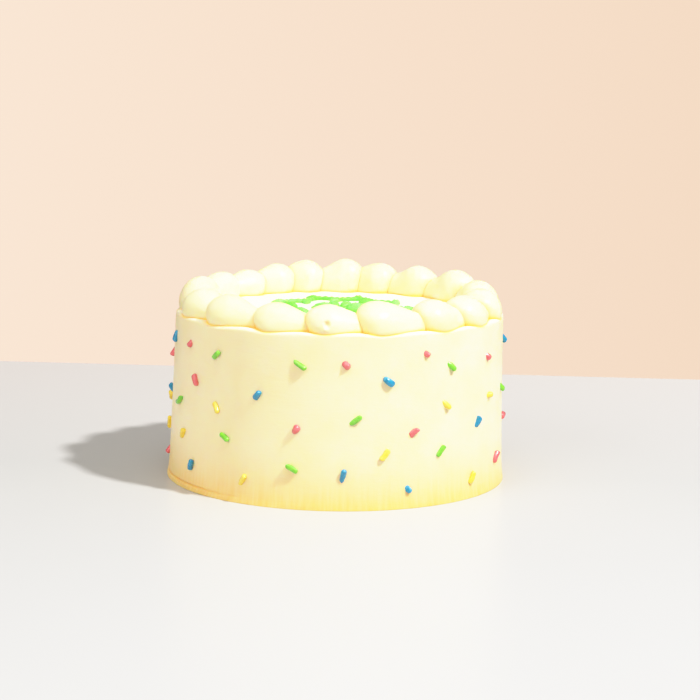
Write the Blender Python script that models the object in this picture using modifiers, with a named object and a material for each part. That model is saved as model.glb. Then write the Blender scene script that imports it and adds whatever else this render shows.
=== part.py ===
"""Sprinkle cake: a small round cake in smooth icing, with a ring of piped shells on its top.

Lengths are in metres. +Z is up, the origin is the middle of the underside, and the front faces -Y.
A bearing is in degrees round the cake, counterclockwise seen from above, from 0 at the front.
"""

import math

import bmesh
import bpy
from mathutils import Matrix, Vector

# Iced body. The wall tapers from the foot to the top, and a little icing is spread out at the foot.
EDGE_HEIGHT = 0.0780
TOP_HEIGHT = 0.0792
TOP_FLAT_RADIUS = 0.060
WALL_TOP_RADIUS = 0.0774
WALL_FOOT_RADIUS = 0.0796
FOOT_FLARE = 0.0009
FOOT_FADE = 0.005
EDGE_ROUND = 0.0014
EDGE_STEPS = 3
# The cake leans, so that its top lies this far to the right of its foot.
TOP_LEAN = 0.0011
BODY_STEPS = 72
MERGE_DISTANCE = 0.00001
TOP_RADII = (0.022, 0.048, TOP_FLAT_RADIUS, 0.067)
WALL_HEIGHTS = (0.045, 0.020, 0.009, 0.004, 0.0)

# Ring of shells. Each starts with a blunt head on the tail of the one before it.
SHELL_STARTS = (-78, -57, -33, -13, 6, 30, 49, 69, 92, 114, 136.5, 155.5, 170, 187.5, 201, 216.5, 233.5, 257)
# How much higher than its neighbours each shell is, in millimetres.
SHELL_EXTRA = (0, 0.5, -0.4, 0, 1.3, 0.3, -0.7, -0.8, -1.2, 0.2, -0.7, -0.5, 1.0, 0.5, -0.2, -1.8, -0.8, 0.8)
RING_RADIUS = 0.0672
RING_SHIFT = 0.0002
SHELL_HALF_WIDTH = 0.0100
SHELL_HEIGHT = 0.0139
SHELL_RISE_TO_BACK = 0.0019
SHELL_RISE_TO_RIGHT = 0.0007
HEAD_LENGTH = 0.0096
TAIL_UNDER_NEXT = 0.005
SHELL_FLAT = 0.32
HEAD_BLUNT = 2.2
HEAD_LIFT = 0.28
TAIL_DROP = 0.34
LONG_TAIL = 0.016
TAIL_NARROWING = 0.36
TAIL_TAPERS_BY = 0.80
TAIL_END = 7
SHELL_SIDES = 14
SHELL_RINGS = 9
CLEARANCE = 0.0003

# Sprinkles: short rods with round ends, pressed into the wall.
SPRINKLE_LENGTH = 0.0066
SPRINKLE_WIDTH = 0.0026
SPRINKLE_PROUD = 0.0022
SPRINKLE_SIDES = 6
SPRINKLE_RINGS = 3

# Front half: bearing, height in millimetres, lean of the outer end from level, and tilt out of the wall.
SPRINKLES = {
    "blue": ((-77, 67.5, -80, 20), (86, 67.4, -75, 40), (-87, 40.1, 90, 40), (-27, 49.8, 45, 20),
             (16.5, 57.6, -40, 5), (54.5, 34.5, 68, 25), (-56, 12.1, 67, 5), (2.4, 15.8, 80, 15),
             (23.9, 8.9, -40, 50)),
    "pink": ((-60.6, 68, -65, 50), (-87, 58.3, -90, 35), (2.2, 65.4, -47, 45), (29.8, 69.4, -55, 54),
             (60.8, 63.8, -60, 50), (-55.4, 51.6, -55, 5), (-13.4, 35.5, 52, 35), (25.9, 34.3, 41, 25),
             (91, 28.5, 5, 10), (-86, 11.4, -70, 40), (69, 14.7, 50, 5)),
    "green": ((-44.6, 65.1, 36, 10), (-12.6, 64.5, -31, 15), (40, 62.5, -41, 30), (-67, 39.7, 33, 0),
              (77, 46.3, -65, 45), (6, 40.6, 40, 15), (-39.3, 28.7, -27, 5), (-14.1, 18.3, -26, 0),
              (36.3, 24.5, 56, 10)),
    "yellow": ((-93, 35.6, 45, 0), (-43.7, 41.3, -50, 15), (38, 45.5, -45, 35), (61.8, 45.2, 15, 50),
               (-63.2, 25.1, 48, 12), (-91, 22.8, 65, 0), (-31.4, 10.8, 55, 20), (15.8, 24.8, 56, 5),
               (51.2, 9.3, 66, 10)),
}
# The back half repeats the front, turned half round and upside down, with each colour moved on by one.
REPEATED_WITHIN = 75
HEIGHT_SUM = 77

# Piped wreath on the top: a wavy stem, a leaf at each crest and trough, and a small rosette in the middle.
STEM_RADIUS = 0.0275
STEM_WAVE = 0.0022
STEM_WAVES = 9
STEM_POINTS_A_WAVE = 8
STEM_THICKNESS = 0.0026
LEAF_HALF_SIZE = (0.0038, 0.0021, 0.0018)
LEAF_NARROWING = 0.45
LEAF_SIDES = 6
LEAF_RINGS = 4
LEAF_TURN = 40
ROSETTE_LEAVES = 9
ROSETTE_HOLE_RADIUS = 0.0045
ROSETTE_SCALE = 1.25

COLOURS = {
    "icing": (0.97, 0.82, 0.49),
    "shell_icing": (0.97, 0.85, 0.56),
    "piped_green": (0.27, 0.80, 0.16),
    "blue": (0.01, 0.33, 0.50),
    "pink": (0.84, 0.15, 0.16),
    "green": (0.23, 0.67, 0.05),
    "yellow": (0.97, 0.74, 0.08),
}
ROUGHNESS = {"icing": 0.42, "shell_icing": 0.34, "piped_green": 0.34}
SPRINKLE_ROUGHNESS = 0.25


def clear_scene():
    for obj in list(bpy.data.objects):
        bpy.data.objects.remove(obj, do_unlink=True)


def new_collection(name):
    collection = bpy.data.collections.new(name)
    bpy.context.scene.collection.children.link(collection)
    return collection


def new_object(name, mesh, collection, material):
    mesh.materials.append(material)
    mesh.shade_smooth()
    obj = bpy.data.objects.new(name, mesh)
    collection.objects.link(obj)
    return obj


def food_material(name):
    material = bpy.data.materials.new(name)
    material.use_nodes = True
    shader = material.node_tree.nodes["Principled BSDF"]
    shader.inputs["Base Color"].default_value = (*COLOURS[name], 1)
    shader.inputs["Roughness"].default_value = ROUGHNESS.get(name, SPRINKLE_ROUGHNESS)
    shader.inputs["Metallic"].default_value = 0
    return material


def on_circle(bearing, radius, height):
    angle = math.radians(bearing)
    return Vector((radius * math.sin(angle), -radius * math.cos(angle), height))


def smooth_step(value):
    value = min(max(value, 0), 1)
    return value * value * (3 - 2 * value)


def lean(mesh):
    for vert in mesh.vertices:
        vert.co.x += TOP_LEAN * vert.co.z / EDGE_HEIGHT
    return mesh


def wall_radius(height):
    taper = (WALL_FOOT_RADIUS - WALL_TOP_RADIUS) * (1 - height / EDGE_HEIGHT)
    return WALL_TOP_RADIUS + taper + FOOT_FLARE * math.exp(-height / FOOT_FADE)


def top_height(radius):
    """The top is level in the middle and falls a little towards its edge."""
    edge = WALL_TOP_RADIUS - EDGE_ROUND
    share = min(max((radius - TOP_FLAT_RADIUS) / (edge - TOP_FLAT_RADIUS), 0), 1)
    return TOP_HEIGHT - (TOP_HEIGHT - EDGE_HEIGHT) * share


def body_profile():
    """Half of the body's section, from the middle of the top down its outer side to the underside."""
    profile = [(0, TOP_HEIGHT)]
    profile += [(radius, top_height(radius)) for radius in TOP_RADII]
    for step in range(EDGE_STEPS + 1):
        angle = math.pi / 2 * (1 - step / EDGE_STEPS)
        radius = WALL_TOP_RADIUS - EDGE_ROUND * (1 - math.cos(angle))
        profile.append((radius, EDGE_HEIGHT - EDGE_ROUND * (1 - math.sin(angle))))
    profile += [(wall_radius(height), height) for height in WALL_HEIGHTS]
    return profile + [(0, 0)]


def make_body(collection, material):
    points = [(radius, 0, height) for radius, height in body_profile()]
    mesh = bpy.data.meshes.new("cake")
    mesh.from_pydata(points, [(i, i + 1) for i in range(len(points) - 1)], [])
    body = new_object("cake", mesh, collection, material)
    turn = body.modifiers.new("turn", "SCREW")
    turn.steps = BODY_STEPS
    turn.render_steps = BODY_STEPS
    turn.use_merge_vertices = True
    turn.merge_threshold = MERGE_DISTANCE
    return body


def ball(sides, rings):
    bm = bmesh.new()
    bmesh.ops.create_uvsphere(bm, u_segments=sides, v_segments=rings, radius=1)
    return bm


def mesh_of(bm, name):
    mesh = bpy.data.meshes.new(name)
    bm.to_mesh(mesh)
    bm.free()
    return mesh


def sprinkle_mesh():
    """A rod along Z: a ball whose upper and lower halves are moved apart."""
    bm = ball(SPRINKLE_SIDES, SPRINKLE_RINGS)
    end = SPRINKLE_WIDTH / 2 / math.cos(math.pi / 2 / SPRINKLE_RINGS)
    half_gap = SPRINKLE_LENGTH / 2 - end
    for vert in bm.verts:
        side = math.copysign(1, vert.co.z)
        vert.co = vert.co * end + Vector((0, 0, side * half_gap))
    return mesh_of(bm, "sprinkle")


def wall_frame(bearing):
    """Rightwards along the wall, upwards, and straight out of it."""
    angle = math.radians(bearing)
    out = Vector((math.sin(angle), -math.cos(angle), 0))
    return Vector((math.cos(angle), math.sin(angle), 0)), Vector((0, 0, 1)), out


def sprinkle_matrix(bearing, height, lean, tilt):
    right, up, out = wall_frame(bearing)
    lean, tilt = math.radians(lean), math.radians(tilt)
    along_wall = right * math.cos(lean) + up * math.sin(lean)
    axis = along_wall * math.cos(tilt) + out * math.sin(tilt)
    round_end = SPRINKLE_WIDTH / 2
    lift = SPRINKLE_PROUD - round_end - (SPRINKLE_LENGTH / 2 - round_end) * math.sin(tilt)
    place = on_circle(bearing, wall_radius(height) + lift, height)
    return Matrix.Translation(place) @ axis.to_track_quat("Z", "Y").to_matrix().to_4x4()


def all_sprinkles():
    """Colour and matrix of each sprinkle, first the front half and then the back."""
    names = list(SPRINKLES)
    for index, name in enumerate(names):
        for bearing, height, lean, tilt in SPRINKLES[name]:
            yield name, sprinkle_matrix(bearing, height / 1000, lean, tilt)
            if abs(bearing) <= REPEATED_WITHIN:
                next_name = names[(index + 1) % len(names)]
                turned = (bearing + 180, (HEIGHT_SUM - height) / 1000, -lean, tilt)
                yield next_name, sprinkle_matrix(*turned)


def add_sprinkles(collection, materials):
    for number, (name, matrix) in enumerate(all_sprinkles()):
        obj = new_object(f"sprinkle_{number}", sprinkle_mesh(), collection, materials[name])
        obj.matrix_world = matrix


def stem_point(turn):
    """A point of the wavy stem, for a turn from 0 to 1 round the top."""
    radius = STEM_RADIUS + STEM_WAVE * math.cos(2 * math.pi * STEM_WAVES * turn)
    return on_circle(360 * turn, radius, TOP_HEIGHT + STEM_THICKNESS / 4)


def add_stem(collection, material):
    count = STEM_WAVES * STEM_POINTS_A_WAVE
    curve = bpy.data.curves.new("stem", "CURVE")
    curve.dimensions = "3D"
    curve.bevel_depth = STEM_THICKNESS / 2
    curve.bevel_resolution = 1
    spline = curve.splines.new("POLY")
    spline.points.add(count - 1)
    spline.use_cyclic_u = True
    for index, point in enumerate(spline.points):
        point.co = (*stem_point(index / count), 1)
    guide = bpy.data.objects.new("stem_guide", curve)
    collection.objects.link(guide)
    mesh = bpy.data.meshes.new_from_object(guide.evaluated_get(bpy.context.evaluated_depsgraph_get()))
    bpy.data.objects.remove(guide, do_unlink=True)
    mesh.materials.clear()
    new_object("stem", mesh, collection, material)


def leaf_mesh():
    """A small piped drop along X, drawn out to a point at its far end."""
    bm = ball(LEAF_SIDES, LEAF_RINGS)
    length, width, height = LEAF_HALF_SIZE
    for vert in bm.verts:
        along, across, rise = vert.co.z, vert.co.x, vert.co.y
        narrow = 1 - LEAF_NARROWING * max(along, 0)
        vert.co = Vector((along * length, across * width * narrow, rise * height * narrow))
    return mesh_of(bm, "leaf")


def leaf_matrix(bearing, radius, turn, scale=1.0):
    """A leaf on the top that starts at the given place and points outwards, swung round by turn."""
    start = on_circle(bearing, radius, TOP_HEIGHT + LEAF_HALF_SIZE[2] / 3)
    swing = Matrix.Rotation(math.radians(bearing - 90 + turn), 4, "Z")
    middle = start + swing @ Vector((LEAF_HALF_SIZE[0] * scale, 0, 0))
    return Matrix.Translation(middle) @ swing @ Matrix.Diagonal((scale, scale, 1, 1))


def leaf_matrices():
    for index in range(2 * STEM_WAVES):
        side = 1 if index % 2 == 0 else -1
        radius = STEM_RADIUS + side * STEM_WAVE
        turn = LEAF_TURN if side == 1 else 180 - LEAF_TURN
        yield leaf_matrix(index * 180 / STEM_WAVES, radius, turn)
    for index in range(ROSETTE_LEAVES):
        yield leaf_matrix(index * 360 / ROSETTE_LEAVES, ROSETTE_HOLE_RADIUS, 0, ROSETTE_SCALE)


def add_leaves(collection, material):
    for number, matrix in enumerate(leaf_matrices()):
        obj = new_object(f"leaf_{number}", leaf_mesh(), collection, material)
        obj.matrix_world = matrix


def fuse(body, toppings):
    """Joins the toppings to the body by one union, applies it and removes them."""
    union = body.modifiers.new("union", "BOOLEAN")
    union.operation = "UNION"
    union.operand_type = "COLLECTION"
    union.collection = toppings
    union.solver = "EXACT"
    union.material_mode = "TRANSFER"
    bpy.context.view_layer.update()
    evaluated = body.evaluated_get(bpy.context.evaluated_depsgraph_get())
    fused = bpy.data.meshes.new_from_object(evaluated)
    body.modifiers.clear()
    body.data = lean(fused)
    for obj in list(toppings.objects):
        bpy.data.objects.remove(obj, do_unlink=True)
    bpy.data.collections.remove(toppings)


def shell_spans():
    """Start and length of each shell along the ring's centre line, and its extra height."""
    for index, start in enumerate(SHELL_STARTS):
        following = SHELL_STARTS[(index + 1) % len(SHELL_STARTS)]
        step = (following - start) % 360
        extra = SHELL_EXTRA[index] / 1000
        yield math.radians(start) * RING_RADIUS, math.radians(step) * RING_RADIUS, extra


def shell_height(angle):
    return SHELL_HEIGHT - SHELL_RISE_TO_BACK * math.cos(angle) + SHELL_RISE_TO_RIGHT * math.sin(angle)


def shell_profile(along, drop):
    """Share of the full width and height, from -1 at the blunt head's start to 1 at the tail's end."""
    if along < 0:
        full = max(1 - abs(along) ** HEAD_BLUNT, 0) ** (1 / HEAD_BLUNT)
        return full, full
    taper = smooth_step(along / TAIL_TAPERS_BY)
    close = math.sqrt(max(1 - along ** TAIL_END, 0))
    return (1 - TAIL_NARROWING * taper) * close, (1 - drop * taper) * close


def shell_rise(along, upward, tall):
    """Height above the seat as a share of the shell's. The head rides up on the tail before it."""
    middle = SHELL_FLAT / (1 + SHELL_FLAT)
    if along > 0:
        return (max(upward, -SHELL_FLAT) + SHELL_FLAT) * tall / (1 + SHELL_FLAT)
    lifted = middle + HEAD_LIFT * abs(along) ** 1.3
    half = 1 - lifted if upward > 0 else 1 - middle
    return max(lifted + upward * tall * half, 0)


def shell_point(unit, start, length, extra):
    """Moves a point of the unit ball to the shell: Z runs along the ring, X across it, and Y upwards."""
    head = HEAD_LENGTH
    tail = length - head + TAIL_UNDER_NEXT
    wide, tall = shell_profile(unit.z, TAIL_DROP * smooth_step((length - head) / LONG_TAIL))
    section = max(math.sqrt(max(1 - unit.z ** 2, 0)), 0.001)
    across, upward = unit.x / section, unit.y / section
    along = start + head + unit.z * (head if unit.z < 0 else tail)
    height = shell_height((start + head) / RING_RADIUS) + extra
    bearing = math.degrees(along / RING_RADIUS)
    point = on_circle(bearing, RING_RADIUS - across * wide * SHELL_HALF_WIDTH, 0)
    point.x += RING_SHIFT
    point.z = top_height(point.length) + CLEARANCE + shell_rise(unit.z, upward, tall) * height
    return point


def shell_mesh(name, start, length, extra, grow=0.0):
    bm = ball(SHELL_SIDES, SHELL_RINGS)
    for vert in bm.verts:
        vert.co = shell_point(vert.co.copy(), start, length, extra)
    bm.normal_update()
    for vert in bm.verts:
        vert.co += vert.normal * grow
    return lean(mesh_of(bm, name))


def make_shells(collection, cutters, material):
    """Each shell's tail is cut back from the head that covers it."""
    spans = list(shell_spans())
    for index, span in enumerate(spans):
        name = f"shell_{index + 1:02d}"
        shell = new_object(name, shell_mesh(name, *span), collection, material)
        cutter_mesh = shell_mesh("head_cutter", *spans[(index + 1) % len(spans)], grow=CLEARANCE)
        cutter = new_object(f"cutter_{index + 1:02d}", cutter_mesh, cutters, material)
        cutter.hide_render = True
        cutter.display_type = "WIRE"
        cut = shell.modifiers.new("next_head", "BOOLEAN")
        cut.operation = "DIFFERENCE"
        cut.solver = "EXACT"
        cut.object = cutter


def main():
    clear_scene()
    materials = {name: food_material(name) for name in COLOURS}
    cake = new_collection("sprinkle_cake")
    toppings = new_collection("toppings")
    cutters = new_collection("cutters")
    cutters.hide_render = True
    body = make_body(cake, materials["icing"])
    add_sprinkles(toppings, materials)
    add_stem(toppings, materials["piped_green"])
    add_leaves(toppings, materials["piped_green"])
    fuse(body, toppings)
    make_shells(cake, cutters, materials["shell_icing"])


main()
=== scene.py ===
"""Looks of the sprinkle cake: smooth icing, piped shells, sprinkles and a piped wreath.

Lengths are in metres. +Z is up, the origin is the middle of the underside, and the front faces -Y.
A bearing is in degrees round the cake, counterclockwise seen from above, from 0 at the front.
"""

import math
import random

import bmesh
import bpy
from mathutils import Matrix, Vector, noise
from mathutils.bvhtree import BVHTree


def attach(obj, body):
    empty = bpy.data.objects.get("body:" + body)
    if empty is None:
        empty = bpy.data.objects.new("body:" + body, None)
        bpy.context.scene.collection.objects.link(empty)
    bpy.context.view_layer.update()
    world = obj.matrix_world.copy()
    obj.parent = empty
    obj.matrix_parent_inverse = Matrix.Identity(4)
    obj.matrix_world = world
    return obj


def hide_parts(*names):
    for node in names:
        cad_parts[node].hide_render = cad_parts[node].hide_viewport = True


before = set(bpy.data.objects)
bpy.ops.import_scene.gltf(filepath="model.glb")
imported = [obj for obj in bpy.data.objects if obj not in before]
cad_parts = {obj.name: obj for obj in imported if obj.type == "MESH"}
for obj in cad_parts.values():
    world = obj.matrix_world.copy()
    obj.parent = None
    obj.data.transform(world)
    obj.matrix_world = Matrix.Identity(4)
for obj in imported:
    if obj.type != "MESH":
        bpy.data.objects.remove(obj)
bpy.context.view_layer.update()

# A share of a whole that counts as nothing.
NEARLY_NOTHING = 0.001

# Iced body, with the same values as the solid.
EDGE_HEIGHT = 0.0780
TOP_HEIGHT = 0.0792
TOP_FLAT_RADIUS = 0.060
WALL_TOP_RADIUS = 0.0774
WALL_FOOT_RADIUS = 0.0796
FOOT_FLARE = 0.0009
FOOT_FADE = 0.005
EDGE_ROUND = 0.0014
# The cake leans, so that its top lies this far to the right of its foot.
TOP_LEAN = 0.0011
BODY_SIDES = 384
TOP_STEP = 0.0025
# Finer rings where the inner side of the shells meets the top.
FINE_FROM = 0.0500
FINE_TO = 0.0650
FINE_STEP = 0.0006
TOP_RIM_START = 0.0715
RIM_STEPS = 14
ROUND_STEPS = 8
WALL_STEP = 0.0012
# Finer rings near the foot, for the groove.
FOOT_ZONE = 0.005
FOOT_STEP = 0.00025

# The rim of icing that the shells press up along the edge, and the unevenness of the coat.
# It is highest where a shell starts and lowest under its head.
RIM_RISE = 0.0004
RIM_WAVE = 0.0004
RIM_LOW_AT = 0.36
RIM_UNEVEN = 0.0005
RIM_UNEVEN_SIZE = 0.3
RIM_UNEVEN_PLACE = 4.7
RIM_WIDTH = 0.0050
# The rim is nearly flat round this bearing.
RIM_FLAT_AT = -92
RIM_FLAT_REACH = 22
RIM_FLAT_SHARE = 0.1
WALL_WAVE = 0.00022
WALL_WAVE_SIZE = 0.030
# The wall's waves fade out over this height, so that the cake rests on a true circle.
WALL_WAVE_FADE = 0.002
# Fine level marks of the scraper: depth, height, and length in degrees.
SCRAPE_DEPTH = 0.00003
SCRAPE_SIZE = 0.0016
SCRAPE_LENGTH = 40
SCRAPE_PLACE = 9.1
TOP_WAVE = 0.00035
TOP_WAVE_SIZE = 0.016
TOP_WAVE_PLACE = 2.3
GROOVE_HEIGHT = 0.0026
GROOVE_WIDTH = 0.00042
GROOVE_DEPTH = 0.00100
# Degrees to either side of its middle, with the share of them over which it fades out.
GROOVE_MIDDLE = -85
GROOVE_REACH = 54
GROOVE_FULL = 0.6
GROOVE_FADE = 0.4

# Ring of shells, with the same values as the solids.
SHELL_STARTS = (-78, -57, -33, -13, 6, 30, 49, 69, 92, 114, 136.5, 155.5, 170, 187.5, 201, 216.5, 233.5, 257)
# How much higher each shell is than the ring's smooth rise makes it, in millimetres.
SHELL_EXTRA = (0, 0.5, -0.4, 0, 1.3, 0.3, -0.7, -0.8, -1.2, 0.2, -0.7, -0.5, 1.0, 0.5, -0.2, -1.8, -0.8, 0.8)
RING_RADIUS = 0.0672
RING_SHIFT = 0.0002
SHELL_HALF_WIDTH = 0.0100
SHELL_HEIGHT = 0.0139
SHELL_RISE_TO_BACK = 0.0019
SHELL_RISE_TO_RIGHT = 0.0007
HEAD_LENGTH = 0.0096
TAIL_UNDER_NEXT = 0.005
SHELL_FLAT = 0.32
HEAD_BLUNT = 2.2
HEAD_LIFT = 0.28
HEAD_LIFT_CURVE = 1.3
TAIL_DROP = 0.34
LONG_TAIL = 0.016
TAIL_NARROWING = 0.36
TAIL_TAPERS_BY = 0.80
TAIL_END = 7
SHELL_SIDES = 72
SHELL_RINGS = 56
SHELL_SINK = 0.0003
SHELL_WAVE = 0.0005
SHELL_WAVE_SIZE = 0.012
SHELL_WAVE_PLACE = 5.3
# The waves fade out over this height above the top.
SHELL_WAVE_FADE = 0.003

# Where one piece meets another, and in the groove at the foot, the icing is painted a deeper orange-yellow:
# painted shade that stands in for the light that bounces about and sinks into the icing in the creases.
CREASE_SHADE_MARKS = "crease"
CREASE_SHADE_REACH = 0.00062
# The painted crease shade is wider close to where one shell meets the next: degrees after its start, spread
# and share.
NOTCH_AFTER = 3
NOTCH_SPREAD = 4
NOTCH_WIDER = 1.3
CREASE_LIMIT = 0.0035
# How strong the painted shade is in the groove at the foot and in the seams between shells.
GROOVE_SHADE_STRENGTH = 0.40
SEAM_SHADE_STRENGTH = 0.35

# A burst bubble of air in one shell.
PIT_SHELL = 4
PIT_SIDES = 150
PIT_RINGS = 120
PIT_BEARING = -4.4
PIT_HEIGHT = 0.0826
METRES_A_DEGREE = 0.001
PIT_RADIUS = 0.00125
PIT_TALL = 1.3
PIT_DEPTH = 0.0014
PIT_STEEPNESS = 4
# It is pushed in slightly downwards, and the lip lies this many of its radii lower.
PIT_AIM_DROP = 0.002
PIT_LIP = 0.0006
PIT_LIP_DROP = 1.9
PIT_LIP_NARROWING = 2

# Sprinkles, with the same places as in the solid.
SPRINKLE_LENGTH = 0.0066
SPRINKLE_WIDTH = 0.0026
SPRINKLE_PROUD = 0.0022
SPRINKLE_SIDES = 20
SPRINKLE_RINGS = 20
# How each colour's rods differ from that length and width.
SPRINKLE_STRETCH = {"blue": (0.90, 1.03), "pink": (0.86, 1.06), "green": (0.98, 0.93), "yellow": (0.97, 0.98)}
SPRINKLE_STRETCH_UNEVEN = 0.10
SPRINKLE_THINNEST = -0.5
SPRINKLE_BEND = 0.0007
SPRINKLE_LEAST_BEND = 0.1
SPRINKLE_BEND_MIDDLE = 0.4
SPRINKLE_TAPER = 0.14
SPRINKLE_LUMPS = 0.00032
SPRINKLE_LUMP_SIZE = 0.0016
SPRINKLE_LUMP_PLACES = 50
SPRINKLE_SEED = 11
# About a full turn, in radians.
TURN_DRAW = 6.3

# Front half: bearing, height in millimetres, lean of the outer end from level, and tilt out of the wall.
SPRINKLES = {
    "blue": ((-77, 67.5, -80, 20), (86, 67.4, -75, 40), (-87, 40.1, 90, 40), (-27, 49.8, 45, 20),
             (16.5, 57.6, -40, 5), (54.5, 34.5, 68, 25), (-56, 12.1, 67, 5), (2.4, 15.8, 80, 15),
             (23.9, 8.9, -40, 50)),
    "pink": ((-60.6, 68, -65, 50), (-87, 58.3, -90, 35), (2.2, 65.4, -47, 45), (29.8, 69.4, -55, 54),
             (60.8, 63.8, -60, 50), (-55.4, 51.6, -55, 5), (-13.4, 35.5, 52, 35), (25.9, 34.3, 41, 25),
             (91, 28.5, 5, 10), (-86, 11.4, -70, 40), (69, 14.7, 50, 5)),
    "green": ((-44.6, 65.1, 36, 10), (-12.6, 64.5, -31, 15), (40, 62.5, -41, 30), (-67, 39.7, 33, 0),
              (77, 46.3, -65, 45), (6, 40.6, 40, 15), (-39.3, 28.7, -27, 5), (-14.1, 18.3, -26, 0),
              (36.3, 24.5, 56, 10)),
    "yellow": ((-93, 35.6, 45, 0), (-43.7, 41.3, -50, 15), (38, 45.5, -45, 35), (61.8, 45.2, 15, 50),
               (-63.2, 25.1, 48, 12), (-91, 22.8, 65, 0), (-31.4, 10.8, 55, 20), (15.8, 24.8, 56, 5),
               (51.2, 9.3, 66, 10)),
}
# The back half repeats the front, turned half round and upside down, with each colour moved on by one.
REPEATED_WITHIN = 75
HEIGHT_SUM = 77

# Piped wreath, with the same route and leaves as in the solid.
STEM_RADIUS = 0.0275
STEM_WAVE = 0.0022
STEM_WAVES = 9
STEM_THICKNESS = 0.0026
STEM_LIFT = STEM_THICKNESS / 4
STEM_POINTS_A_WAVE = 48
STEM_SIDES = 14
BEADS_A_WAVE = 7
BEAD_SHARE = 0.13
LEAF_HALF_SIZE = (0.0038, 0.0021, 0.0018)
LEAF_LIFT = LEAF_HALF_SIZE[2] / 3
LEAF_NARROWING = 0.45
LEAF_SIDES = 24
LEAF_RINGS = 24
LEAF_TURN = 40
LEAF_CREASE = 0.30
LEAF_CREASE_WIDTH = 0.22
LEAF_RIPPLE = 0.10
LEAF_RIPPLES = 3
ROSETTE_LEAVES = 9
ROSETTE_HOLE_RADIUS = 0.0045
ROSETTE_SCALE = 1.25
WREATH_VOXEL = 0.00028

# Sockets of a node that mixes two colours.
MIX_SHARE = 0
MIX_FIRST = 6
MIX_SECOND = 7
MIX_RESULT = 2

# Colours are linear.
ICING = (0.975, 0.795, 0.500)
ICING_DEEP = (0.965, 0.770, 0.448)
SHELL_ICING = (0.976, 0.828, 0.495)
SHELL_ICING_DEEP = (0.970, 0.804, 0.435)
# Colour of the painted shade in the creases.
CREASE_PAINTED_SHADE = (0.960, 0.590, 0.140)
# The wall is painted yellower towards its foot, in faint upright streaks: a painted reflection of warm light
# bounced up from below.
STREAK_SIZE = 0.0016
STREAK_STRETCH = (1, 1, 0.05)
STREAK_SHARES = (0.8, 1.1)
FOOT_PAINTED_BOUNCE = (0.915, 0.570, 0.135)
FOOT_BOUNCE_FROM = 0.030
FOOT_BOUNCE_SHARE = 0.95
# The level top is painted paler than the wall: painted light where it faces up to the lights. Its colour
# starts just under the edge.
TOP_PAINTED_LIGHT = (0.975, 0.880, 0.680)
TOP_PAINTED_LIGHT_HEIGHTS = (EDGE_HEIGHT - 0.0005, EDGE_HEIGHT + 0.001)
# A faint painted glow in the creases, light that the icing gives off though no lamp is there: its colour,
# strength, and the crease depth where it starts.
CREASE_GLOW = (1.0, 0.480, 0.060)
CREASE_GLOW_STRENGTH = 0.28
CREASE_GLOW_FROM = 0.15
GREEN_ICING = (0.270, 0.800, 0.160)
GREEN_ICING_DEEP = (0.150, 0.600, 0.035)
SPRINKLE_COLOURS = {
    "blue": ((0.008, 0.310, 0.530), (0.003, 0.210, 0.390)),
    "pink": ((0.880, 0.170, 0.180), (0.720, 0.095, 0.100)),
    "green": ((0.220, 0.660, 0.035), (0.140, 0.520, 0.010)),
    "yellow": ((0.970, 0.750, 0.080), (0.940, 0.640, 0.025)),
}
# Values of a noise that give the one end and the other, in patches of colour and in faint ones of sheen.
COLOUR_NOISE = (0.35, 0.65)
SHEEN_NOISE = (0.3, 0.7)
PATCH_SIZE = 0.018
SHEEN_SIZE = 0.006
# How much glossier and how much duller the icing is in places.
SHEEN_GLOSSIER = 0.05
SHEEN_DULLER = 0.06
GRAIN_SIZE = 0.0009
GRAIN_DEPTH = 0.00003
GRAIN_ROUGHNESS = 0.6
DRAG_SIZE = 0.004
DRAG_STRETCH = (1, 1, 4)
DRAG_DEPTH = 0.00006
# Roughness of each kind of icing, and how far light sinks into it.
WALL_FINISH = (0.42, 0.0008)
SHELL_FINISH = (0.34, 0.0028)
GREEN_FINISH = (0.34, 0.0008)
ICING_SOFTNESS = 0.8
ICING_SOFT_COLOUR = (1.0, 0.75, 0.30)
ICING_SPECULAR = 0.40
MOTTLE_SIZE = 0.0016
SUGAR_SHEEN_SIZE = 0.0008
SUGAR_ROUGHNESS = (0.22, 0.36)
SUGAR_GRAIN_SIZE = 0.0007
SUGAR_GRAIN_DEPTH = 0.00002
SUGAR_SOFTNESS = 0.10
SUGAR_SOFT_COLOUR = (1.0, 0.8, 0.6)
SUGAR_SINKS = 0.0006
SUGAR_SPECULAR = 0.50
SUGAR_COAT = 0.80
SUGAR_COAT_ROUGHNESS = 0.22
FLOOR_COLOUR = (0.548, 0.543, 0.522)
# Painted light and a painted reflection of the backdrop, towards the worktop's far edge.
FLOOR_FAR_PAINTED_LIGHT = (0.690, 0.645, 0.605)
FLOOR_PATCH_SIZE = 0.12
FLOOR_PATCH_SHADE = 0.96
FLOOR_ROUGHNESS = 0.35
FLOOR_SPECULAR = 0.15
BACKDROP_LEFT = (1.160, 0.800, 0.658)
BACKDROP_RIGHT = (1.000, 0.712, 0.550)
BACKDROP_SPREAD = 0.18
FILL_COLOUR = (1.0, 0.978, 0.945)
KEY_COLOUR = (1.0, 1.0, 1.03)
SIDE_COLOUR = (1.0, 0.975, 0.955)

# Light and camera.
FILL_STRENGTH = 0.50
# What the glossy surfaces mirror is dimmer, as in a room that is dark behind the camera.
MIRRORED_STRENGTH = 0.12
# Bearing, elevation, distance, size, power and colour.
KEY_LIGHT = (55, 52, 2.2, 0.16, 61, KEY_COLOUR)
SIDE_LIGHT = (-45, 30, 2.0, 1.6, 12, SIDE_COLOUR)
TOP_LIGHT = (-10, 72, 2.0, 1.3, 12, SIDE_COLOUR)
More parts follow.
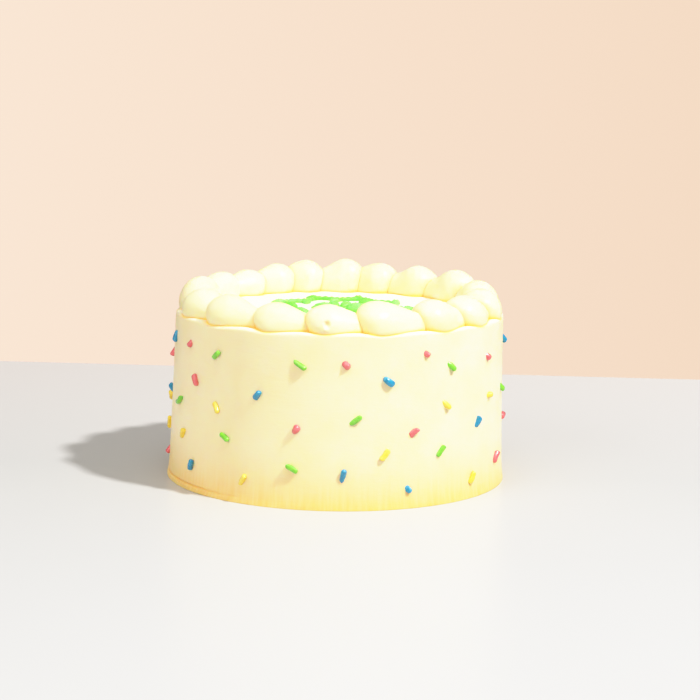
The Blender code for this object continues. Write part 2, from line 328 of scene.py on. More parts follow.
# Tones above the shoulder are drawn in towards white, as a camera does.
SHOULDER = 0.75
SHOULDER_RANGE = 4.0
SHOULDER_POINTS = 18
CAMERA_PLACE = (0, -0.941, 0.212)
CAMERA_YAW = 0.38
CAMERA_PITCH = 9.22
CAMERA_ROLL = 0.96
SENSOR_WIDTH = 36
FOCAL_LENGTH = 102.857
FLOOR_BACK = 0.29
FLOOR_REACH = 1.5
FLOOR_THICKNESS = 0.02
FLOOR_EDGE = 0.004
FLOOR_EDGE_STEPS = 5
FLOOR_TURN = -3.8


def mix(a, b, share):
    return a + (b - a) * share


def smooth_step(value):
    value = min(max(value, 0), 1)
    return value * value * (3 - 2 * value)


def on_circle(bearing, radius, height):
    angle = math.radians(bearing)
    return Vector((radius * math.sin(angle), -radius * math.cos(angle), height))


def wave(point, size, place=0.0):
    """Smooth unevenness from about -1 to 1, with humps of the given size, from some place of the noise."""
    return noise.noise(Vector(point) / size + Vector((place, 2 * place, 3 * place)))


def wall_radius(height):
    taper = (WALL_FOOT_RADIUS - WALL_TOP_RADIUS) * (1 - height / EDGE_HEIGHT)
    return WALL_TOP_RADIUS + taper + FOOT_FLARE * math.exp(-height / FOOT_FADE)


def top_height(radius):
    edge = WALL_TOP_RADIUS - EDGE_ROUND
    share = min(max((radius - TOP_FLAT_RADIUS) / (edge - TOP_FLAT_RADIUS), 0), 1)
    return TOP_HEIGHT - (TOP_HEIGHT - EDGE_HEIGHT) * share


def cake_object(name, mesh, material):
    """A piece of the cake, which leans so that its top lies a little to the right of its foot."""
    for vert in mesh.vertices:
        vert.co.x += TOP_LEAN * vert.co.z / EDGE_HEIGHT
    return mesh_object(name, mesh, material)


def mesh_object(name, mesh, material):
    mesh.materials.append(material)
    mesh.shade_smooth()
    return add_object(name, mesh)


def add_object(name, data):
    obj = bpy.data.objects.new(name, data)
    bpy.context.scene.collection.objects.link(obj)
    return obj


def finished_mesh(name, bm):
    mesh = bpy.data.meshes.new(name)
    bm.to_mesh(mesh)
    bm.free()
    return mesh


def grid_mesh(name, rings, first_pole, last_pole):
    """A closed skin over rings of equally many points, ended by a point at each side."""
    count = len(rings[0])
    points = [point for ring in rings for point in ring] + [first_pole, last_pole]
    faces = []
    for row in range(len(rings) - 1):
        for column in range(count):
            after = (column + 1) % count
            low, high = row * count, (row + 1) * count
            faces.append((low + column, low + after, high + after, high + column))
    first, last, end = len(points) - 2, len(points) - 1, (len(rings) - 1) * count
    for column in range(count):
        after = (column + 1) % count
        faces.append((first, after, column))
        faces.append((last, end + column, end + after))
    mesh = bpy.data.meshes.new(name)
    mesh.from_pydata(points, [], faces)
    mesh.update()
    return mesh


def rim_height(bearing):
    """How far the rim of icing stands above the edge of the top."""
    share = share_of_shell(bearing)
    turn = share / RIM_LOW_AT / 2 if share < RIM_LOW_AT else 1 - (1 - share) / (1 - RIM_LOW_AT) / 2
    uneven = RIM_UNEVEN * wave(on_circle(bearing, 1, 0), RIM_UNEVEN_SIZE, RIM_UNEVEN_PLACE)
    return (RIM_RISE + RIM_WAVE * math.cos(2 * math.pi * turn) + uneven) * rim_share(bearing)


def rim_share(bearing):
    """1 where the rim stands up in full, and less where it is nearly flat."""
    return mix(RIM_FLAT_SHARE, 1, smooth_step(turned_from(bearing, RIM_FLAT_AT) / RIM_FLAT_REACH))


def turned_from(bearing, other):
    """Degrees between two bearings, the shorter way round."""
    return abs((bearing - other + 180) % 360 - 180)


def bearing_of(point):
    return math.degrees(math.atan2(point.x, -point.y))


def share_of_shell(bearing):
    """How far along its shell a bearing lies, from 0 at the shell's start to 1 at the next one's."""
    for index, start in enumerate(SHELL_STARTS):
        step = (SHELL_STARTS[(index + 1) % len(SHELL_STARTS)] - start) % 360
        along = (bearing - start) % 360
        if along < step:
            return along / step
    return 0


def groove(bearing, height):
    """The fine groove above the spread foot, which fades out towards the front."""
    away = turned_from(bearing, GROOVE_MIDDLE)
    strength = 1 - smooth_step((away - GROOVE_REACH * GROOVE_FULL) / (GROOVE_REACH * GROOVE_FADE))
    across = (height - GROOVE_HEIGHT) / GROOVE_WIDTH
    return GROOVE_DEPTH * strength * math.exp(-across * across)


def wall_point(bearing, height):
    place = on_circle(bearing, wall_radius(height), height)
    uneven = WALL_WAVE * wave(place, WALL_WAVE_SIZE) * smooth_step(height / WALL_WAVE_FADE)
    scrape = SCRAPE_DEPTH * wave((0, bearing / SCRAPE_LENGTH, height / SCRAPE_SIZE), 1, SCRAPE_PLACE)
    radius = wall_radius(height) + uneven + scrape - groove(bearing, height)
    return on_circle(bearing, radius, height)


def top_point(bearing, radius):
    place = on_circle(bearing, radius, 0)
    share = smooth_step((radius - (WALL_TOP_RADIUS - EDGE_ROUND - RIM_WIDTH)) / RIM_WIDTH)
    height = top_height(radius) + TOP_WAVE * wave(place, TOP_WAVE_SIZE, TOP_WAVE_PLACE) * (1 - share)
    return on_circle(bearing, radius, height + share * rim_height(bearing))


def round_point(bearing, turn):
    """Over the rounded edge: turn goes from 0 on the top to 1 on the wall."""
    angle = math.pi / 2 * (1 - turn)
    crest = EDGE_HEIGHT + rim_height(bearing)
    height = crest - EDGE_ROUND * (1 - math.sin(angle))
    radius = wall_radius(height) - EDGE_ROUND * (1 - math.cos(angle))
    place = on_circle(bearing, radius, height)
    radius += WALL_WAVE * wave(place, WALL_WAVE_SIZE) * turn
    return on_circle(bearing, radius, height)


def body_rings():
    bearings = [360 * side / BODY_SIDES for side in range(BODY_SIDES)]
    edge = WALL_TOP_RADIUS - EDGE_ROUND
    radii = [TOP_STEP * (step + 1) for step in range(int(TOP_RIM_START / TOP_STEP) - 1)]
    radii = [radius for radius in radii if radius < FINE_FROM or radius > FINE_TO]
    radii += [FINE_FROM + FINE_STEP * step for step in range(round((FINE_TO - FINE_FROM) / FINE_STEP) + 1)]
    radii.sort()
    radii += [mix(TOP_RIM_START, edge, step / RIM_STEPS) for step in range(RIM_STEPS)]
    for radius in radii:
        yield [top_point(bearing, radius) for bearing in bearings]
    for step in range(ROUND_STEPS):
        yield [round_point(bearing, step / ROUND_STEPS) for bearing in bearings]
    wall_rows = int((EDGE_HEIGHT - EDGE_ROUND - FOOT_ZONE) / WALL_STEP)
    for row in range(wall_rows):
        share = row / wall_rows
        ring = []
        for bearing in bearings:
            top = EDGE_HEIGHT + rim_height(bearing) - EDGE_ROUND
            ring.append(wall_point(bearing, mix(top, FOOT_ZONE, share)))
        yield ring
    foot_rows = round(FOOT_ZONE / FOOT_STEP)
    for row in range(foot_rows + 1):
        height = FOOT_ZONE * (1 - row / foot_rows)
        yield [wall_point(bearing, height) for bearing in bearings]


def make_body(material):
    rings = list(body_rings())
    mesh = grid_mesh("iced_body", rings, Vector((0, 0, TOP_HEIGHT)), Vector((0, 0, 0)))
    return cake_object("iced_body", mesh, material)


def surface_tree(objects):
    points = []
    faces = []
    for obj in objects:
        first = len(points)
        points += [vert.co.copy() for vert in obj.data.vertices]
        faces += [[first + corner for corner in face.vertices] for face in obj.data.polygons]
    return BVHTree.FromPolygons(points, faces)


def nearness(point, trees):
    """1 where a point touches another piece, falling to 0 away from it."""
    near = 0
    for tree in trees:
        distance = tree.find_nearest(point, CREASE_LIMIT)[3]
        if distance is not None:
            near = max(near, math.exp(-(distance / crease_shade_reach(point)) ** 2))
    return near


def crease_shade_reach(point):
    """How far the painted crease shade spreads at a place of the ring."""
    bearing = bearing_of(point)
    away = min(turned_from(bearing, start + NOTCH_AFTER) for start in SHELL_STARTS)
    return CREASE_SHADE_REACH * rim_share(bearing) * (1 + NOTCH_WIDER * math.exp(-(away / NOTCH_SPREAD) ** 2))


def mark_crease_shade(body, shells):
    """Keeps how deep in a crease each point lies, for the painted crease shade and glow of the icing."""
    trees = [surface_tree([shell]) for shell in shells]
    under = surface_tree([body])
    ring = surface_tree(shells)
    for index, shell in enumerate(shells):
        beside = (trees[index - 1], trees[(index + 1) % len(trees)])
        mark(shell.data, lambda point: max(nearness(point, (under,)), SEAM_SHADE_STRENGTH * nearness(point, beside)))
    mark(body.data, lambda point: max(nearness(point, (ring,)), groove_painted_shade(point)))


# Painted shade along the groove at the foot, as strong as the groove is deep.
def groove_painted_shade(point):
    return GROOVE_SHADE_STRENGTH * groove(bearing_of(point), point.z) / GROOVE_DEPTH


def mark(mesh, depth):
    marks = mesh.attributes.new(CREASE_SHADE_MARKS, "FLOAT", "POINT")
    for vert, value in zip(mesh.vertices, marks.data):
        value.value = depth(vert.co)


def shell_spans():
    """Start and length of each shell along the ring's centre line, and its extra height."""
    for index, start in enumerate(SHELL_STARTS):
        following = SHELL_STARTS[(index + 1) % len(SHELL_STARTS)]
        step = (following - start) % 360
        extra = SHELL_EXTRA[index] / 1000
        yield math.radians(start) * RING_RADIUS, math.radians(step) * RING_RADIUS, extra


def shell_height(angle):
    return SHELL_HEIGHT - SHELL_RISE_TO_BACK * math.cos(angle) + SHELL_RISE_TO_RIGHT * math.sin(angle)


def shell_profile(along, drop):
    """Share of the full width and height, from -1 at the blunt head's start to 1 at the tail's end."""
    if along < 0:
        full = max(1 - abs(along) ** HEAD_BLUNT, 0) ** (1 / HEAD_BLUNT)
        return full, full
    taper = smooth_step(along / TAIL_TAPERS_BY)
    close = math.sqrt(max(1 - along ** TAIL_END, 0))
    return (1 - TAIL_NARROWING * taper) * close, (1 - drop * taper) * close


def shell_rise(along, upward, tall):
    """Height above the seat as a share of the shell's. The head rides up on the tail before it."""
    middle = SHELL_FLAT / (1 + SHELL_FLAT)
    if along > 0:
        return (max(upward, -SHELL_FLAT) + SHELL_FLAT) * tall / (1 + SHELL_FLAT)
    lifted = middle + HEAD_LIFT * abs(along) ** HEAD_LIFT_CURVE
    half = 1 - lifted if upward > 0 else 1 - middle
    return max(lifted + upward * tall * half, 0)


def shell_point(unit, start, length, extra):
    """Moves a point of the unit ball to the shell: Z runs along the ring, X across it, and Y upwards."""
    head = HEAD_LENGTH
    tail = length - head + TAIL_UNDER_NEXT
    wide, tall = shell_profile(unit.z, TAIL_DROP * smooth_step((length - head) / LONG_TAIL))
    section = max(math.sqrt(max(1 - unit.z ** 2, 0)), NEARLY_NOTHING)
    across, upward = unit.x / section, unit.y / section
    along = start + head + unit.z * (head if unit.z < 0 else tail)
    height = shell_height((start + head) / RING_RADIUS) + extra
    bearing = math.degrees(along / RING_RADIUS)
    point = on_circle(bearing, RING_RADIUS - across * wide * SHELL_HALF_WIDTH, 0)
    point.x += RING_SHIFT
    point.z = top_height(point.length) - SHELL_SINK + shell_rise(unit.z, upward, tall) * height
    return point


def dent_pit(bm):
    """Pushes in the burst bubble, with a small lip of icing under it."""
    middle = min((vert.co for vert in bm.verts), key=pit_distance).copy()
    inward = (Vector((0, 0, middle.z - PIT_AIM_DROP)) - middle).normalized()
    below = middle - Vector((0, 0, PIT_RADIUS * PIT_LIP_DROP))
    for vert in bm.verts:
        away = vert.co - middle
        away.z /= PIT_TALL
        lip = (vert.co - below).length / PIT_RADIUS
        push = PIT_DEPTH * math.exp(-(away.length / PIT_RADIUS) ** PIT_STEEPNESS)
        vert.co += inward * (push - PIT_LIP * math.exp(-lip * lip * PIT_LIP_NARROWING))


def pit_distance(point):
    """Roughly how far a point lies from the bubble, in metres, with the ring's inner side ruled out."""
    away = abs(bearing_of(point) - PIT_BEARING) * METRES_A_DEGREE
    inner_side = 0 if Vector((point.x, point.y)).length > RING_RADIUS else 1
    return away + abs(point.z - PIT_HEIGHT) + inner_side


def make_shell(index, span, material):
    has_pit = index + 1 == PIT_SHELL
    sides = PIT_SIDES if has_pit else SHELL_SIDES
    rings = PIT_RINGS if has_pit else SHELL_RINGS
    bm = bmesh.new()
    bmesh.ops.create_uvsphere(bm, u_segments=sides, v_segments=rings, radius=1)
    for vert in bm.verts:
        point = shell_point(vert.co.copy(), *span)
        outward = (point - on_circle(bearing_of(point), RING_RADIUS, TOP_HEIGHT)).normalized()
        above = smooth_step((point.z - TOP_HEIGHT) / SHELL_WAVE_FADE)
        vert.co = point + outward * SHELL_WAVE * above * wave(point, SHELL_WAVE_SIZE, SHELL_WAVE_PLACE)
    if has_pit:
        dent_pit(bm)
    name = f"piped_shell_{index + 1:02d}"
    return cake_object(name, finished_mesh(name, bm), material)


def wall_frame(bearing):
    """Rightwards along the wall, upwards, and straight out of it."""
    angle = math.radians(bearing)
    out = Vector((math.sin(angle), -math.cos(angle), 0))
    return Vector((math.cos(angle), math.sin(angle), 0)), Vector((0, 0, 1)), out


def sprinkle_matrix(bearing, height, lean, tilt):
    right, up, out = wall_frame(bearing)
    lean, tilt = math.radians(lean), math.radians(tilt)
    along_wall = right * math.cos(lean) + up * math.sin(lean)
    axis = along_wall * math.cos(tilt) + out * math.sin(tilt)
    round_end = SPRINKLE_WIDTH / 2
    lift = SPRINKLE_PROUD - round_end - (SPRINKLE_LENGTH / 2 - round_end) * math.sin(tilt)
    place = on_circle(bearing, wall_radius(height) + lift, height)
    return Matrix.Translation(place) @ axis.to_track_quat("Z", "Y").to_matrix().to_4x4()


def all_sprinkles():
    """Colour and matrix of each sprinkle, first the front half and then the back."""
    names = list(SPRINKLES)
    for index, name in enumerate(names):
        for bearing, height, lean, tilt in SPRINKLES[name]:
            yield name, sprinkle_matrix(bearing, height / 1000, lean, tilt)
            if abs(bearing) <= REPEATED_WITHIN:
                next_name = names[(index + 1) % len(names)]
                turned = (bearing + 180, (HEIGHT_SUM - height) / 1000, -lean, tilt)
                yield next_name, sprinkle_matrix(*turned)


def add_sprinkle(bm, matrix, stretch, draw):
    """One slightly bent, tapered and lumpy rod along Z, moved to its place."""
    longer = stretch[0] * (1 + SPRINKLE_STRETCH_UNEVEN * draw.uniform(-1, 1))
    wider = stretch[1] * (1 + SPRINKLE_STRETCH_UNEVEN * draw.uniform(SPRINKLE_THINNEST, 1))
    bend = SPRINKLE_BEND * draw.uniform(SPRINKLE_LEAST_BEND, 1)
    bend_x = math.cos(draw.uniform(0, TURN_DRAW))
    bend_y = math.sin(draw.uniform(0, TURN_DRAW))
    bend_way = Vector((bend_x, bend_y, 0)).normalized()
    taper = SPRINKLE_TAPER * draw.uniform(-1, 1)
    place = draw.uniform(0, SPRINKLE_LUMP_PLACES)
    end = SPRINKLE_WIDTH / 2
    half_gap = SPRINKLE_LENGTH / 2 - end
    made = bmesh.ops.create_uvsphere(bm, u_segments=SPRINKLE_SIDES, v_segments=SPRINKLE_RINGS, radius=1)
    for vert in made["verts"]:
        unit = vert.co.copy()
        side = math.copysign(1, unit.z) if abs(unit.z) > NEARLY_NOTHING else 0
        lump = wave(unit * end + Vector((0, 0, side * half_gap)), SPRINKLE_LUMP_SIZE, place)
        point = unit * (end + SPRINKLE_LUMPS * lump)
        point.z += side * half_gap
        share = point.z / (SPRINKLE_LENGTH / 2)
        point.x *= 1 + taper * share
        point.y *= 1 + taper * share
        point += bend_way * bend * (SPRINKLE_BEND_MIDDLE - share * share)
        vert.co = matrix @ Vector((point.x * wider, point.y * wider, point.z * longer))


def make_sprinkles(colour, material):
    draw = random.Random(SPRINKLE_SEED + list(SPRINKLES).index(colour))
    bm = bmesh.new()
    for name, matrix in all_sprinkles():
        if name == colour:
            add_sprinkle(bm, matrix, SPRINKLE_STRETCH[colour], draw)
    return cake_object(f"sprinkles_{colour}", finished_mesh(f"sprinkles_{colour}", bm), material)


def stem_point(turn):
    """A point of the wavy stem, for a turn from 0 to 1 round the top."""
    radius = STEM_RADIUS + STEM_WAVE * math.cos(2 * math.pi * STEM_WAVES * turn)
    return on_circle(360 * turn, radius, TOP_HEIGHT + STEM_LIFT)


def add_stem(bm):
    """A tube along the stem that swells into small beads."""
    count = STEM_WAVES * STEM_POINTS_A_WAVE
    rings = []
    for step in range(count):
        turn = step / count
        along = (stem_point(turn + 0.5 / count) - stem_point(turn - 0.5 / count)).normalized()
        across = along.cross(Vector((0, 0, 1))).normalized()
        bead = 1 + BEAD_SHARE * math.cos(2 * math.pi * BEADS_A_WAVE * STEM_WAVES * turn)
        ring = []
        for side in range(STEM_SIDES):
            angle = 2 * math.pi * side / STEM_SIDES
            offset = across * math.cos(angle) + Vector((0, 0, 1)) * math.sin(angle)
            ring.append(bm.verts.new(stem_point(turn) + offset * STEM_THICKNESS / 2 * bead))
        rings.append(ring)
    for step in range(count):
        ring, after = rings[step], rings[(step + 1) % count]
        for side in range(STEM_SIDES):
            beyond = (side + 1) % STEM_SIDES
            bm.faces.new((ring[side], ring[beyond], after[beyond], after[side]))


def leaf_matrix(bearing, radius, turn, scale=1.0):
    """A leaf on the top that starts at the given place and points outwards, swung round by turn."""
    start = on_circle(bearing, radius, TOP_HEIGHT + LEAF_LIFT)
    swing = Matrix.Rotation(math.radians(bearing - 90 + turn), 4, "Z")
    middle = start + swing @ Vector((LEAF_HALF_SIZE[0] * scale, 0, 0))
    return Matrix.Translation(middle) @ swing @ Matrix.Diagonal((scale, scale, 1, 1))


def leaf_matrices():
    for index in range(2 * STEM_WAVES):
        side = 1 if index % 2 == 0 else -1
        radius = STEM_RADIUS + side * STEM_WAVE
        turn = LEAF_TURN if side == 1 else 180 - LEAF_TURN
        yield leaf_matrix(index * 180 / STEM_WAVES, radius, turn)
    for index in range(ROSETTE_LEAVES):
        yield leaf_matrix(index * 360 / ROSETTE_LEAVES, ROSETTE_HOLE_RADIUS, 0, ROSETTE_SCALE)


def leaf_point(unit):
    """A piped leaf along X: ripples across it, and a crease down the middle of its top."""
    length, width, height = LEAF_HALF_SIZE
    along, across, rise = unit.z, unit.x, unit.y
    narrow = 1 - LEAF_NARROWING * max(along, 0)
    narrow *= 1 + LEAF_RIPPLE * math.cos(2 * math.pi * LEAF_RIPPLES * along)
    crease = 1 - LEAF_CREASE * math.exp(-(across / LEAF_CREASE_WIDTH) ** 2) * max(rise, 0)
    return Vector((along * length, across * width * narrow, rise * height * narrow * crease))


def add_leaf(bm, matrix):
    made = bmesh.ops.create_uvsphere(bm, u_segments=LEAF_SIDES, v_segments=LEAF_RINGS, radius=1)
    for vert in made["verts"]:
        vert.co = matrix @ leaf_point(vert.co.copy())


def make_wreath(material):
    """Stem and leaves, melted into one skin."""
    bm = bmesh.new()
    add_stem(bm)
    for matrix in leaf_matrices():
        add_leaf(bm, matrix)
    parts = add_object("wreath_parts", finished_mesh("wreath_parts", bm))
    melt = parts.modifiers.new("melt", "REMESH")
    melt.mode = "VOXEL"
    melt.voxel_size = WREATH_VOXEL
    melt.use_smooth_shade = True
    bpy.context.view_layer.update()
    melted = bpy.data.meshes.new_from_object(parts.evaluated_get(bpy.context.evaluated_depsgraph_get()))
    bpy.data.objects.remove(parts, do_unlink=True)
    melted.name = "piped_wreath"
    return cake_object("piped_wreath", melted, material)


class Nodes:
    """A material's node tree, with short calls for the nodes used here."""

    def __init__(self, name):
        self.material = bpy.data.materials.new(name)
        self.material.use_nodes = True
        self.tree = self.material.node_tree
        self.shader = self.tree.nodes["Principled BSDF"]
        place = self.tree.nodes.new("ShaderNodeTexCoord")
        self.place = place.outputs["Object"]

    def link(self, output, socket):
        self.tree.links.new(output, socket)

    def noise(self, size, detail=2.0, roughness=0.5, stretch=None):
        """Noise with humps of the given size in metres."""
        node = self.tree.nodes.new("ShaderNodeTexNoise")
        node.inputs["Scale"].default_value = 1 / size
        node.inputs["Detail"].default_value = detail
        node.inputs["Roughness"].default_value = roughness
        source = self.place
        if stretch is not None:
            mapping = self.tree.nodes.new("ShaderNodeMapping")
            mapping.inputs["Scale"].default_value = stretch
            self.link(self.place, mapping.inputs["Vector"])
            source = mapping.outputs["Vector"]
        self.link(source, node.inputs["Vector"])
        return node.outputs["Fac"]

    def spread(self, value, low, high, to_low=0.0, to_high=1.0):
        node = self.tree.nodes.new("ShaderNodeMapRange")
        node.inputs["From Min"].default_value = low
        node.inputs["From Max"].default_value = high
        node.inputs["To Min"].default_value = to_low
        node.inputs["To Max"].default_value = to_high
        self.link(value, node.inputs["Value"])
        return node.outputs["Result"]

    def times(self, first, second):
        node = self.tree.nodes.new("ShaderNodeMath")
        node.operation = "MULTIPLY"
        self.link(first, node.inputs[0])
        self.link(second, node.inputs[1])
        return node.outputs["Value"]

    def along(self, axis):
        """A point's place along one axis, in metres."""
        node = self.tree.nodes.new("ShaderNodeSeparateXYZ")
        self.link(self.place, node.inputs["Vector"])
        return node.outputs[axis]

    def named(self, name):
        """A number kept on each point of the mesh."""
        node = self.tree.nodes.new("ShaderNodeAttribute")
        node.attribute_name = name
        return node.outputs["Fac"]

    def blend(self, share, first, second):
        """Mixes two colours; the first may be another node's output."""
        node = self.tree.nodes.new("ShaderNodeMix")
        node.data_type = "RGBA"
        if isinstance(first, tuple):
            node.inputs[MIX_FIRST].default_value = (*first, 1)
        else:
            self.link(first, node.inputs[MIX_FIRST])
        node.inputs[MIX_SECOND].default_value = (*second, 1)
        self.link(share, node.inputs[MIX_SHARE])
        return node.outputs[MIX_RESULT]

    def bump(self, height, distance, under=None):
        node = self.tree.nodes.new("ShaderNodeBump")
        node.inputs["Distance"].default_value = distance
        self.link(height, node.inputs["Height"])
        if under is not None:
            self.link(under, node.inputs["Normal"])
        return node.outputs["Normal"]

    def softness(self, weight, colour, depth):
        """Lets light sink in: how much of it, how far each colour spreads, and to what depth in metres."""
        self.shader.inputs["Subsurface Weight"].default_value = weight
        self.shader.inputs["Subsurface Radius"].default_value = colour
        self.shader.inputs["Subsurface Scale"].default_value = depth


def icing_material(name, light, deep, finish, creased=True, foot=None, top=None):
    """Satin icing: faint patches of colour, a fine grain, level drag marks, and light that sinks in."""
    nodes = Nodes(name)
    shader = nodes.shader
    roughness, sinks = finish
    colour = nodes.blend(nodes.spread(nodes.noise(PATCH_SIZE, 3), *COLOUR_NOISE), light, deep)
    # foot and top carry the painted bounce light near the wall's foot and the painted light on the top.
    if foot is not None:
        colour = wall_painted_light(nodes, colour, foot, top)
    # Painted shade in the creases: a deeper orange-yellow, with a faint painted glow.
    if creased:
        crease = nodes.named(CREASE_SHADE_MARKS)
        colour = nodes.blend(crease, colour, CREASE_PAINTED_SHADE)
        glow = nodes.spread(crease, CREASE_GLOW_FROM, 1.0, 0, CREASE_GLOW_STRENGTH)
        nodes.link(glow, shader.inputs["Emission Strength"])
        shader.inputs["Emission Color"].default_value = (*CREASE_GLOW, 1)
    nodes.link(colour, shader.inputs["Base Color"])
    sheen_range = (roughness - SHEEN_GLOSSIER, roughness + SHEEN_DULLER)
    sheen = nodes.spread(nodes.noise(SHEEN_SIZE, 2), *SHEEN_NOISE, *sheen_range)
    nodes.link(sheen, shader.inputs["Roughness"])
    grain = nodes.bump(nodes.noise(GRAIN_SIZE, 3, GRAIN_ROUGHNESS), GRAIN_DEPTH)
    drag = nodes.bump(nodes.noise(DRAG_SIZE, 2, 0.5, DRAG_STRETCH), DRAG_DEPTH, under=grain)
    nodes.link(drag, shader.inputs["Normal"])
    nodes.softness(ICING_SOFTNESS, ICING_SOFT_COLOUR, sinks)
    shader.inputs["Specular IOR Level"].default_value = ICING_SPECULAR
    return nodes.material


def wall_painted_light(nodes, colour, foot, top):
    """The icing's colour, with a painted reflection of warm bounce light near the foot of the wall and
    painted light on the top.
    """
    height = nodes.along("Z")
    streaks = nodes.spread(nodes.noise(STREAK_SIZE, 2, 0.5, STREAK_STRETCH), *SHEEN_NOISE, *STREAK_SHARES)
    nearer = nodes.spread(height, FOOT_BOUNCE_FROM, 0)
    bounce_share = nodes.spread(nodes.times(nearer, nearer), 0, 1, 0, FOOT_BOUNCE_SHARE)
    colour = nodes.blend(nodes.times(bounce_share, streaks), colour, foot)
    return nodes.blend(nodes.spread(height, *TOP_PAINTED_LIGHT_HEIGHTS), colour, top)


def sprinkle_material(colour):
    """Glossy pressed sugar with a slightly mottled, waxy surface."""
    nodes = Nodes(f"sugar_{colour}")
    shader = nodes.shader
    light, deep = SPRINKLE_COLOURS[colour]
    mottle = nodes.spread(nodes.noise(MOTTLE_SIZE, 3), *COLOUR_NOISE)
    nodes.link(nodes.blend(mottle, light, deep), shader.inputs["Base Color"])
    sheen = nodes.spread(nodes.noise(SUGAR_SHEEN_SIZE, 2), *SHEEN_NOISE, *SUGAR_ROUGHNESS)
    nodes.link(sheen, shader.inputs["Roughness"])
    nodes.link(nodes.bump(nodes.noise(SUGAR_GRAIN_SIZE, 2), SUGAR_GRAIN_DEPTH), shader.inputs["Normal"])
    nodes.softness(SUGAR_SOFTNESS, SUGAR_SOFT_COLOUR, SUGAR_SINKS)
    shader.inputs["Specular IOR Level"].default_value = SUGAR_SPECULAR
    shader.inputs["Coat Weight"].default_value = SUGAR_COAT
    shader.inputs["Coat Roughness"].default_value = SUGAR_COAT_ROUGHNESS
    return nodes.material


def even_light(node, strength):
    node.inputs["Color"].default_value = (*FILL_COLOUR, 1)
    node.inputs["Strength"].default_value = strength
    return node.outputs["Background"]


def backdrop_light(tree):
    """The backdrop's colour, which changes from left to right."""
    seen = tree.nodes.new("ShaderNodeBackground")
    way = tree.nodes.new("ShaderNodeTexCoord")
    across = tree.nodes.new("ShaderNodeSeparateXYZ")
    tree.links.new(way.outputs["Generated"], across.inputs["Vector"])
    share = tree.nodes.new("ShaderNodeMapRange")
    share.inputs["From Min"].default_value = -BACKDROP_SPREAD
    share.inputs["From Max"].default_value = BACKDROP_SPREAD
    tree.links.new(across.outputs["X"], share.inputs["Value"])
    shade = tree.nodes.new("ShaderNodeMix")
    shade.data_type = "RGBA"
    shade.inputs[MIX_FIRST].default_value = (*BACKDROP_LEFT, 1)
    shade.inputs[MIX_SECOND].default_value = (*BACKDROP_RIGHT, 1)
    tree.links.new(share.outputs["Result"], shade.inputs[MIX_SHARE])
    tree.links.new(shade.outputs[MIX_RESULT], seen.inputs["Color"])
    return seen.outputs["Background"]


def chosen_light(tree, ray, others, chosen):
    """One light for rays of a kind, and another for all others."""
    node = tree.nodes.new("ShaderNodeMixShader")
    tree.links.new(ray, node.inputs["Fac"])
    tree.links.new(others, node.inputs[1])
    tree.links.new(chosen, node.inputs[2])
    return node.outputs["Shader"]


def backdrop_world():
    """A plain backdrop where the camera looks past the floor, a fill light, and a dimmer room to mirror."""
    world = bpy.data.worlds.new("studio")
    world.use_nodes = True
    tree = world.node_tree
    fill = even_light(tree.nodes["Background"], FILL_STRENGTH)
    mirrored = even_light(tree.nodes.new("ShaderNodeBackground"), MIRRORED_STRENGTH)
    rays = tree.nodes.new("ShaderNodeLightPath").outputs
    lit = chosen_light(tree, rays["Is Glossy Ray"], fill, mirrored)
    light = chosen_light(tree, rays["Is Camera Ray"], lit, backdrop_light(tree))
    tree.links.new(light, tree.nodes["World Output"].inputs["Surface"])
    bpy.context.scene.world = world


def floor_material():
    """A pale worktop in faint patches, painted lighter and warmer towards its far edge: painted light and a
    painted reflection of the warm backdrop.
    """
    nodes = Nodes("pale_worktop")
    shader = nodes.shader
    darker = tuple(channel * FLOOR_PATCH_SHADE for channel in FLOOR_COLOUR)
    colour = nodes.blend(nodes.noise(FLOOR_PATCH_SIZE, 3), FLOOR_COLOUR, darker)
    colour = nodes.blend(nodes.spread(nodes.along("Y"), 0, FLOOR_BACK), colour, FLOOR_FAR_PAINTED_LIGHT)
    nodes.link(colour, shader.inputs["Base Color"])
    shader.inputs["Roughness"].default_value = FLOOR_ROUGHNESS
    shader.inputs["Specular IOR Level"].default_value = FLOOR_SPECULAR
    return nodes.material


def make_floor():
    """A plain pale worktop whose far edge lies behind the cake."""
    bm = bmesh.new()
    bmesh.ops.create_cube(bm, size=1)
    for vert in bm.verts:
        back = FLOOR_BACK if vert.co.y > 0 else -FLOOR_REACH
        vert.co = Vector((vert.co.x * 2 * FLOOR_REACH, back, (vert.co.z - 0.5) * FLOOR_THICKNESS))
    edges = bm.edges[:]
    bmesh.ops.bevel(bm, geom=edges, offset=FLOOR_EDGE, segments=FLOOR_EDGE_STEPS, profile=0.5, affect="EDGES")
    floor = mesh_object("floor", finished_mesh("floor", bm), floor_material())
    floor.rotation_euler.z = math.radians(FLOOR_TURN)


def make_light(name, bearing, elevation, distance, size, power, colour):
    """A round light that faces the middle of the cake."""
    light = bpy.data.lights.new(name, "AREA")
    light.shape = "DISK"
    light.size = size
    light.energy = power
    light.color = colour
    lamp = add_object(name, light)
    elevation = math.radians(elevation)
    lamp.location = on_circle(bearing, distance * math.cos(elevation), distance * math.sin(elevation))
    aim = Vector((0, 0, EDGE_HEIGHT / 2)) - lamp.location
    lamp.rotation_euler = aim.to_track_quat("-Z", "Y").to_euler()


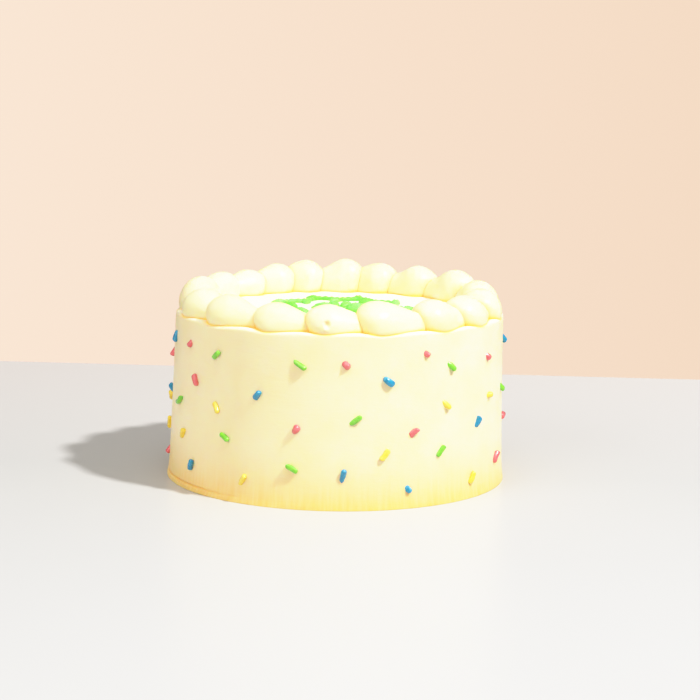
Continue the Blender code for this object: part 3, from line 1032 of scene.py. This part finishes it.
def make_camera():
    yaw, pitch, roll = (math.radians(angle) for angle in (CAMERA_YAW, CAMERA_PITCH, CAMERA_ROLL))
    forward = Vector((math.sin(yaw) * math.cos(pitch), math.cos(yaw) * math.cos(pitch), -math.sin(pitch)))
    right = forward.cross(Vector((0, 0, 1))).normalized()
    up = right.cross(forward)
    across = right * math.cos(roll) + up * math.sin(roll)
    upward = up * math.cos(roll) - right * math.sin(roll)
    data = bpy.data.cameras.new("camera")
    data.sensor_width = SENSOR_WIDTH
    data.lens = FOCAL_LENGTH
    camera = add_object("camera", data)
    turn = Matrix((across, upward, -forward)).transposed().to_4x4()
    camera.matrix_world = Matrix.Translation(CAMERA_PLACE) @ turn
    bpy.context.scene.camera = camera


def take_from_record(piece):
    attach(piece, "root")


def camera_response():
    """Draws bright tones in towards white instead of cutting them off."""
    view = bpy.context.scene.view_settings
    view.view_transform = "Standard"
    view.use_curve_mapping = True
    mapping = view.curve_mapping
    mapping.extend = "HORIZONTAL"
    mapping.white_level = (SHOULDER_RANGE, SHOULDER_RANGE, SHOULDER_RANGE)
    curve = mapping.curves[3]
    room = 1 - SHOULDER
    for step in range(SHOULDER_POINTS + 1):
        share = step / SHOULDER_POINTS
        tone = mix(SHOULDER, SHOULDER_RANGE, share * share)
        place = (tone / SHOULDER_RANGE, 1 - room * math.exp(-(tone - SHOULDER) / room))
        if step == SHOULDER_POINTS:
            curve.points[1].location = place
        else:
            curve.points.new(*place)
    mapping.update()


def make_cake():
    painted_light_colours = {"foot": FOOT_PAINTED_BOUNCE, "top": TOP_PAINTED_LIGHT}
    body = make_body(icing_material("wall_icing", ICING, ICING_DEEP, WALL_FINISH, **painted_light_colours))
    take_from_record(body)
    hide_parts("cake")
    for colour in SPRINKLES:
        sprinkles = make_sprinkles(colour, sprinkle_material(colour))
        take_from_record(sprinkles)
        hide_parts("cake")
    green = icing_material("green_icing", GREEN_ICING, GREEN_ICING_DEEP, GREEN_FINISH, creased=False)
    wreath = make_wreath(green)
    take_from_record(wreath)
    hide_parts("cake")
    shell_material = icing_material("shell_icing", SHELL_ICING, SHELL_ICING_DEEP, SHELL_FINISH)
    shells = []
    for index, span in enumerate(shell_spans()):
        shell = make_shell(index, span, shell_material)
        take_from_record(shell)
        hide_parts(f"shell_{index + 1:02d}")
        shells.append(shell)
    mark_crease_shade(body, shells)


make_cake()
make_floor()
make_light("key", *KEY_LIGHT)
make_light("side", *SIDE_LIGHT)
make_light("top", *TOP_LIGHT)
backdrop_world()
make_camera()
camera_response()
